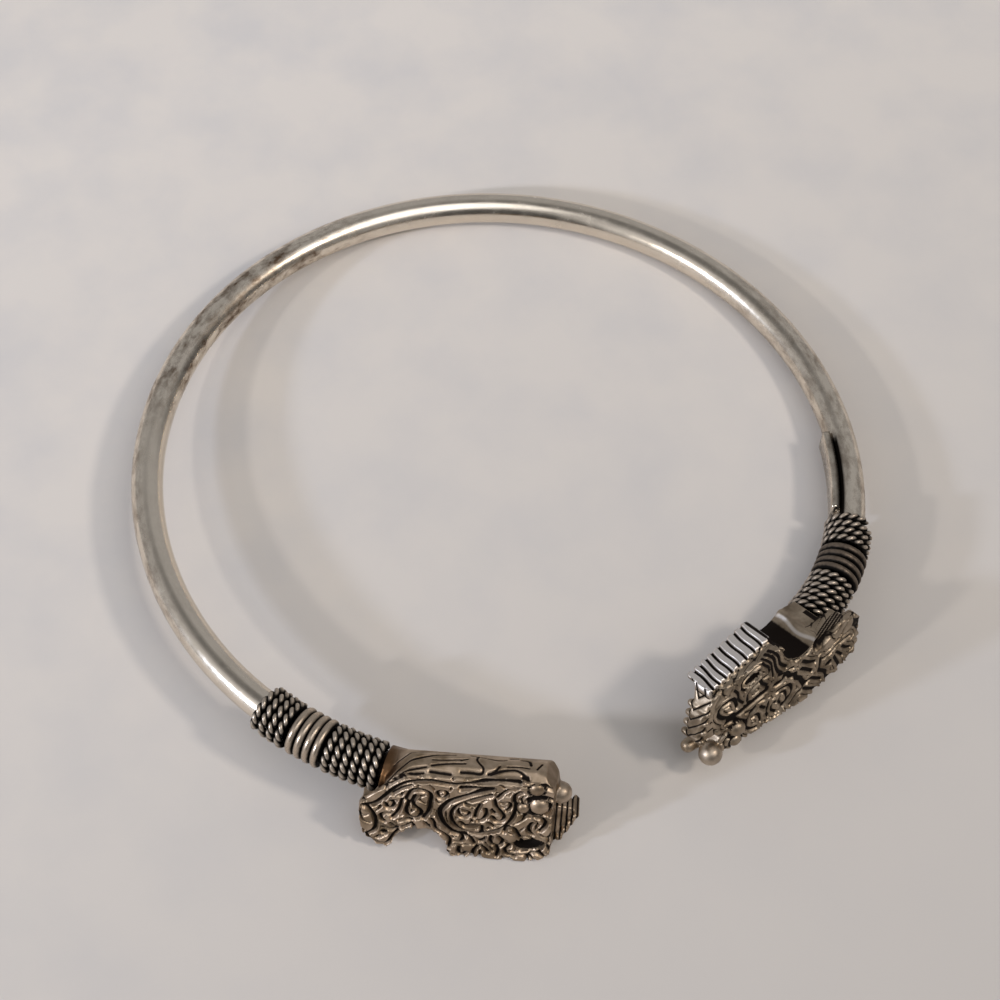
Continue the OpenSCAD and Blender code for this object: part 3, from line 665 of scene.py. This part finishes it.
# oxide and painted shade: how far below the smoothed surface, in mm, they gather, near and wide, and where
# edges are rubbed clean
hollowOxideAndShade = {"nearSteps": 10, "near": (0.015, 0.08), "wideSteps": 60, "wide": (0.12, 0.4), "rubbed": (0.03, 0.1)}


def smoothStroke(points, pieces=5):  # a curve through the given points
    points = np.asarray(points, dtype=float)
    if len(points) < 3:
        return points
    padded = np.vstack([2 * points[0] - points[1], points, 2 * points[-1] - points[-2]])
    out = []
    for i in range(1, len(padded) - 2):
        a, b, c, d = padded[i - 1:i + 3]
        for t in np.arange(pieces) / pieces:
            out.append(0.5 * (2 * b + (c - a) * t + (2 * a - 5 * b + 4 * c - d) * t ** 2
                              + (3 * b - a - 3 * c + d) * t ** 3))
    out.append(points[-1])
    return np.array(out)


def strokeDistance(where, points):  # distance of each place to a stroke
    near = np.full(len(where), 1e9)
    for a, b in zip(points[:-1], points[1:]):
        along = b - a
        t = np.clip((where - a) @ along / max(along @ along, 1e-9), 0, 1)
        near = np.minimum(near, np.linalg.norm(where - a - t[:, None] * along, axis=1))
    return near


def engraving(where, strokes, share):  # distance from the edge of the nearest channel, below 0 inside one
    edge = np.full(len(where), 9.0)
    reach = 0.8
    for half, points in strokes:
        curve = smoothStroke(points)
        box = np.all((where > curve.min(axis=0) - reach) & (where < curve.max(axis=0) + reach), axis=1)
        edge[box] = np.minimum(edge[box], strokeDistance(where[box], curve) - share * half)
    return edge


def fillerCurls(where):  # the same distance for small curls that fill plain places, drawn by a sine field
    x, y = where.T
    field = np.sin(2.7 * x + 1.5 * np.sin(2.3 * y + 1)) + np.sin(3.1 * y + 1.3 * np.sin(2.1 * x))
    return np.abs(field) / 3.4 - 0.03


def evenLines(x, pitch):  # distance to the nearest of many evenly spaced lines
    return np.abs(x / pitch % 1 - 0.5) * pitch


def inOval(where, at, half, turn):  # 1 inside a turned oval, 0 outside
    shift = where - at
    along = (shift[:, 0] * math.cos(turn) + shift[:, 1] * math.sin(turn)) / half[0]
    across = (shift[:, 1] * math.cos(turn) - shift[:, 0] * math.sin(turn)) / half[1]
    return 1 - blendStep(0.6, 1.05, along ** 2 + across ** 2)


def headMatrix(pose):
    angle = math.radians(casting["at"])
    radius = ring["radius"]
    spot = ringPlace @ Vector((pose["side"] * radius * math.sin(angle), radius * math.cos(angle), 0))
    turn, dip, tip = (Matrix.Rotation(math.radians(pose[key]), 4, axis)
                      for key, axis in (("turn", "Z"), ("dip", "Y"), ("tip", "X")))
    return Matrix.Translation(spot) @ turn @ dip @ tip @ Matrix.Translation(-Vector(casting["socket"]))


def headMaterial(word, pose):  # cast silver, oxidised and rubbed back: satin highs, black-brown lows of oxide and painted shade, a painted brown reflection and a painted sheen
    material = newMaterial("oxidisedCastSilver" + word.capitalize())
    tree = material.node_tree
    recess, paintedBrownReflection, polishAndSheen = (addNode(tree, "ShaderNodeAttribute", {"attribute_name": key}).outputs["Fac"]
                             for key in ("recess", "paintedBrownReflection", "polishAndSheen"))
    where = addNode(tree, "ShaderNodeTexCoord").outputs["Object"]
    grain = addNode(tree, "ShaderNodeTexNoise", inputs={
        "Vector": where, "Scale": 1000 / casting["grainMm"], "Detail": 5, "Roughness": 0.6})
    cloud = addNode(tree, "ShaderNodeTexNoise", inputs={
        "Vector": where, "Scale": 1000 / casting["patinaMm"], "Detail": 4})
    uneven = addNode(tree, "ShaderNodeMath", {"operation": "MULTIPLY_ADD"}, {
        0: grain, 1: 0.5, 2: -0.25})
    level = addNode(tree, "ShaderNodeMath", {"operation": "ADD"}, {0: recess, 1: uneven})
    dark = addNode(tree, "ShaderNodeMapRange", {"interpolation_type": "SMOOTHSTEP"}, {
        "Value": level, "From Min": 0.15, "From Max": 0.85})
    patina = addNode(tree, "ShaderNodeMapRange", inputs={
        "Value": cloud, "From Min": 0.38, "From Max": 0.66, "To Max": 0.8})
    high = addNode(tree, "ShaderNodeMix", {"data_type": "RGBA"}, {
        "Factor": patina, "A": pose["high"], "B": pose["worn"]})
    # painted reflection: brown on the neck beside the wrap
    withBrownReflection = addNode(tree, "ShaderNodeMix", {"data_type": "RGBA"}, {
        "Factor": paintedBrownReflection, "A": high, "B": casting["paintedBrownReflection"]})
    # painted sheen: the jaw's ribs, the arch's step and the balls are lightened toward a pale silver
    polished = addNode(tree, "ShaderNodeMix", {"data_type": "RGBA"}, {
        "Factor": polishAndSheen, "A": withBrownReflection, "B": casting["polished"]})
    colour = addNode(tree, "ShaderNodeMix", {"data_type": "RGBA"}, {
        "Factor": dark, "A": polished, "B": casting["low"]})
    rough = addNode(tree, "ShaderNodeMapRange", inputs={
        "Value": dark, "To Min": casting["roughness"], "To Max": casting["lowRoughness"]})
    metal = addNode(tree, "ShaderNodeMapRange", inputs={
        "Value": dark, "To Min": 1.0, "To Max": 0.1})
    bump = addNode(tree, "ShaderNodeBump", inputs={
        "Height": grain, "Strength": 0.25, "Distance": casting["grainDepthMm"] * mm})
    shader = addNode(tree, "ShaderNodeBsdfPrincipled", inputs={
        "Base Color": colour, "Metallic": metal, "Roughness": rough, "Specular IOR Level": 0.12,
        "Normal": bump})
    addNode(tree, "ShaderNodeOutputMaterial", inputs={"Surface": shader})
    return material


def remeshed(node, place):  # a fine even copy of the source's casting, in the head frame
    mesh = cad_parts[node].data.copy()
    mesh.transform(Matrix.Scale(1 / mm, 4))
    mesh.transform(place.inverted())
    temporary = bpy.data.objects.new("temporary", mesh)
    bpy.context.scene.collection.objects.link(temporary)
    weld = temporary.modifiers.new("weld", "WELD")
    weld.merge_threshold = casting["weld"]
    fine = temporary.modifiers.new("fine", "REMESH")
    fine.mode = "VOXEL"
    fine.voxel_size = casting["voxel"]
    shaped = bpy.data.meshes.new_from_object(temporary.evaluated_get(bpy.context.evaluated_depsgraph_get()))
    bpy.data.objects.remove(temporary)
    points = np.empty(len(shaped.vertices) * 3)
    shaped.vertices.foreach_get("co", points)
    faces = [tuple(p.vertices) for p in shaped.polygons]
    bpy.data.meshes.remove(shaped)
    return points.reshape(-1, 3), faces


def meshLinks(faces):  # the faces as one array, and the pairs of points that an edge joins
    quads = np.array([f if len(f) == 4 else f + f[-1:] for f in faces])
    pairs = np.concatenate([quads[:, [k, (k + 1) % 4]] for k in range(4)])
    return quads, pairs[pairs[:, 0] != pairs[:, 1]]


def smoothed(points, pairs, steps):  # each step moves every point to the middle of its neighbours
    count = len(points)
    degree = np.bincount(pairs[:, 0], minlength=count) + np.bincount(pairs[:, 1], minlength=count)
    for _ in range(steps):
        points = np.stack([np.bincount(pairs[:, 0], points[pairs[:, 1], k], count)
                           + np.bincount(pairs[:, 1], points[pairs[:, 0], k], count) for k in range(3)], -1)
        points /= np.maximum(degree, 1)[:, None]
    return points


def pointNormals(points, quads):
    corner = points[quads]
    faceNormal = np.cross(corner[:, 2] - corner[:, 0], corner[:, 3] - corner[:, 1])
    normal = np.zeros_like(points)
    for k in range(4):
        for axis in range(3):
            normal[:, axis] += np.bincount(quads[:, k], faceNormal[:, axis], len(points))
    return normal / np.maximum(np.linalg.norm(normal, axis=1, keepdims=True), 1e-9)


def carveFace(points, pose, where, onFace, lined, inView, edge):  # lifts the relief, returns the darkness
    level = np.interp(points[:, 0], *pose["level"])
    filler = np.maximum(fillerCurls(where), casting["fillGap"] - edge)
    edge = np.where(edge > casting["fillFrom"], np.minimum(edge, filler), edge)
    rise = pose["floor"] + (pose["top"] - pose["floor"]) * blendStep(-0.03, casting["edgeRound"], edge)
    recess = np.where(lined, 1 - blendStep(*casting["lineFade"], edge), 0.0)
    for centre, radius, high in pose["bosses"]:
        away = np.linalg.norm(points[:, :2] - centre, axis=1) / radius
        dome = np.maximum(high * np.sqrt(np.clip(1 - away ** 2, 0, 1)), 0.05)
        rise = np.where(away < 1, dome, rise)
        recess = np.where(onFace & (away < 1.35), np.where(away < 0.95, 0, 0.9), recess)
    for at, half, turn, depth in pose["hollows"]:
        sink = inOval(where, at, half, turn)
        rise = rise * (1 - sink) - depth * sink
        # painted shade: the hollow's inside, where it is in view, is painted dark
        recess = np.maximum(recess, np.where(inView, np.minimum(1, 1.5 * sink), 0))
    points[:, 2] = np.where(onFace, level + rise, points[:, 2])
    return recess


def carveJaw(points, normals, w, onFace, recess):  # broad ribs with thin dark lines between, their tops given a painted highlight
    u, v = points.T[:2].copy()
    below = ~onFace & (normals[:, 1] < -0.2) & (v < 0) & between(u, *jaw["u"])
    line = np.min([np.abs(u - jaw["lean"] * (w + 0.2) - at - jaw["wobble"] * np.sin(2.3 * w + 7 * at))
                   for at in jaw["lines"]], axis=0)
    across = window(w, *jaw["w"])
    groove = 1 - blendStep(*jaw["line"], line)
    ribbed = v * (1 - across) + across * (jaw["level"] + jaw["groove"] * groove)
    points[:, 1] = np.where(below, ribbed, v)
    return np.maximum(recess, below * across * groove), below * across * (1 - groove)


def paintNeck(normals, u, w, seen, inView, recess):  # painted shade: the dark petal with lighter veins, and a painted shadow in the corner under it
    dark = inOval(seen, petal["at"], petal["half"], petal["turn"]) * inView
    acrossPetal = (seen[:, 1] - petal["at"][1]) - petal["veinSlope"] * (seen[:, 0] - petal["at"][0])
    vein = 1 - blendStep(*petal["vein"], evenLines(acrossPetal, petal["veinGap"]))
    recess = np.maximum(recess, dark) - 0.75 * dark * vein
    # painted shadow in the corner under the petal
    shadedCorner = (normals[:, 1] < -0.8) & between(u, *corner["u"]) & between(w, *corner["w"])
    return np.maximum(recess, corner["dark"] * shadedCorner)


def paintArch(u, v, w, level, onFace, recess, polishAndSheen):  # black inside, for oxide and painted shade, with a painted highlight along the pale step on its neck side
    near = np.hypot(u - arch["at"], v) < arch["reach"]
    inside = ~onFace & near & between(v, *arch["v"]) & (w < level - 0.2)
    # painted shade: the arch's inside is painted black
    black = np.maximum(recess, blendStep(*arch["dark"], u))
    recess = np.where(inside & (u > arch["dark"][0]), black, recess)
    # painted highlight along the pale step
    step = 1 - blendStep(*arch["line"], np.abs(u - arch["step"] - arch["wobble"] * np.sin(1.7 * w)))
    return recess, np.maximum(polishAndSheen, inside * 0.6 * step)


def carve(points, normals, pose, right):  # moves the points, returns how dark each one is and how much polish and painted sheen it has
    u, v, w = points.T.copy()
    level = np.interp(u, *pose["level"])
    flat = np.stack([u, v], -1)
    seen = flat + (tracing["plane"] - np.minimum(w, level))[:, None] * tracing["slide"]
    where = seen if right else flat
    offBall = np.linalg.norm(points - pose["ball"], axis=1) > pose["ballRadius"] + casting["ballBand"]
    onFace = (w > level - casting["faceBand"]) & (u < pose["faceEnd"]) & offBall
    edge = engraving(where, pose["channels"], pose["channelShare"])
    if right:  # a fainter line beside every channel, and all lines run on over each edge that is in view
        inView = normals @ np.array(tracing["toward"]) > 0.15
        edge = np.minimum(edge, np.abs(edge - 0.42) + 0.01)
        clear = np.hypot(u - arch["at"], v) > arch["ring"]
        lined = onFace | inView & (w > 1.15) & (u < pose["faceEnd"]) & offBall & clear
    else:
        inView = w > level - 1.6
        fromRing = np.abs(np.linalg.norm(flat - leftRing["at"], axis=1) - leftRing["radius"])
        edge = np.minimum(edge, fromRing - leftRing["half"])
        lined = onFace
    recess = carveFace(points, pose, where, onFace, lined, inView, edge)
    # grooves combed along the crest
    roof = ~onFace & (normals[:, 1] > 0.3) & (v > 6)
    combed = (1 - blendStep(-0.05, 0.12, engraving(np.stack([u, w], -1), combing, 0.9))) * roof
    recess = np.maximum(recess, combed)
    polishAndSheen = np.zeros_like(u)
    if right:
        recess, polishAndSheen = carveJaw(points, normals, w, onFace, recess)
        recess = paintNeck(normals, u, w, seen, inView, recess)
        recess, polishAndSheen = paintArch(u, v, w, level, onFace, recess, polishAndSheen)
        along = v + 0.9 * np.abs(w - 0.1)  # chevrons
    else:
        points[:, 1] -= casting["grooveDepth"] * combed
        along = u - 16.05  # straight ribs
    chin = pose["chin"]
    onChin = ~onFace & (u > chin["from"]) & between(v, *chin["v"])
    cut = (1 - blendStep(*chin["line"], evenLines(along, chin["pitch"]))) * onChin
    points -= normals * (casting["lineDepth"] * cut)[:, None]
    # a faint painted sheen on the ball
    polishAndSheen = np.maximum(polishAndSheen, 0.1 * (normals[:, 0] > -0.6) * ~offBall)
    return np.maximum(recess, cut), polishAndSheen


def makeHead(word, pose):
    place = headMatrix(pose)
    points, faces = remeshed(pose["node"], place)
    quads, pairs = meshLinks(faces)
    points = smoothed(points, pairs, casting["softening"])
    recess, polishAndSheen = carve(points, pointNormals(points, quads), pose, word == "right")
    normals = pointNormals(points, quads)
    # oxide and painted shade: darker the deeper a point lies below its smoothed surroundings, near and wide
    below, farBelow = (np.sum((smoothed(points, pairs, steps) - points) * normals, axis=1)
                       for steps in (hollowOxideAndShade["nearSteps"], hollowOxideAndShade["wideSteps"]))
    recess = np.maximum(recess, blendStep(*hollowOxideAndShade["near"], below))
    recess = np.maximum(recess, 0.9 * blendStep(*hollowOxideAndShade["wide"], farBelow))
    recess = np.clip(recess - 0.5 * blendStep(*hollowOxideAndShade["rubbed"], -below), 0, 1)
    # painted brown reflection on the neck beside the wrap, below the face
    u, v, w = points.T
    level = np.interp(u, *pose["level"])
    sunken = 1 - blendStep(level - 0.8, level - 0.2, w)
    paintedBrownReflection = 0.9 * (1 - blendStep(2.4, 4.0, u)) * sunken * blendStep(3.5, 5, v)
    shared = points @ np.array(place.to_3x3()).T + np.array(place.translation)
    low, high = (np.array(c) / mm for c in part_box(pose["node"]))
    shared = np.clip(shared, low + casting["insideBox"], high - casting["insideBox"])
    makePiece(word + "CastHead", shared, faces, headMaterial(word, pose), pose["node"],
              {"recess": recess, "paintedBrownReflection": paintedBrownReflection, "polishAndSheen": polishAndSheen})
    print("stage:", word, "head,", len(faces), "faces")


for word, pose in heads.items():
    makeHead(word, pose)

bpy.context.view_layer.update()
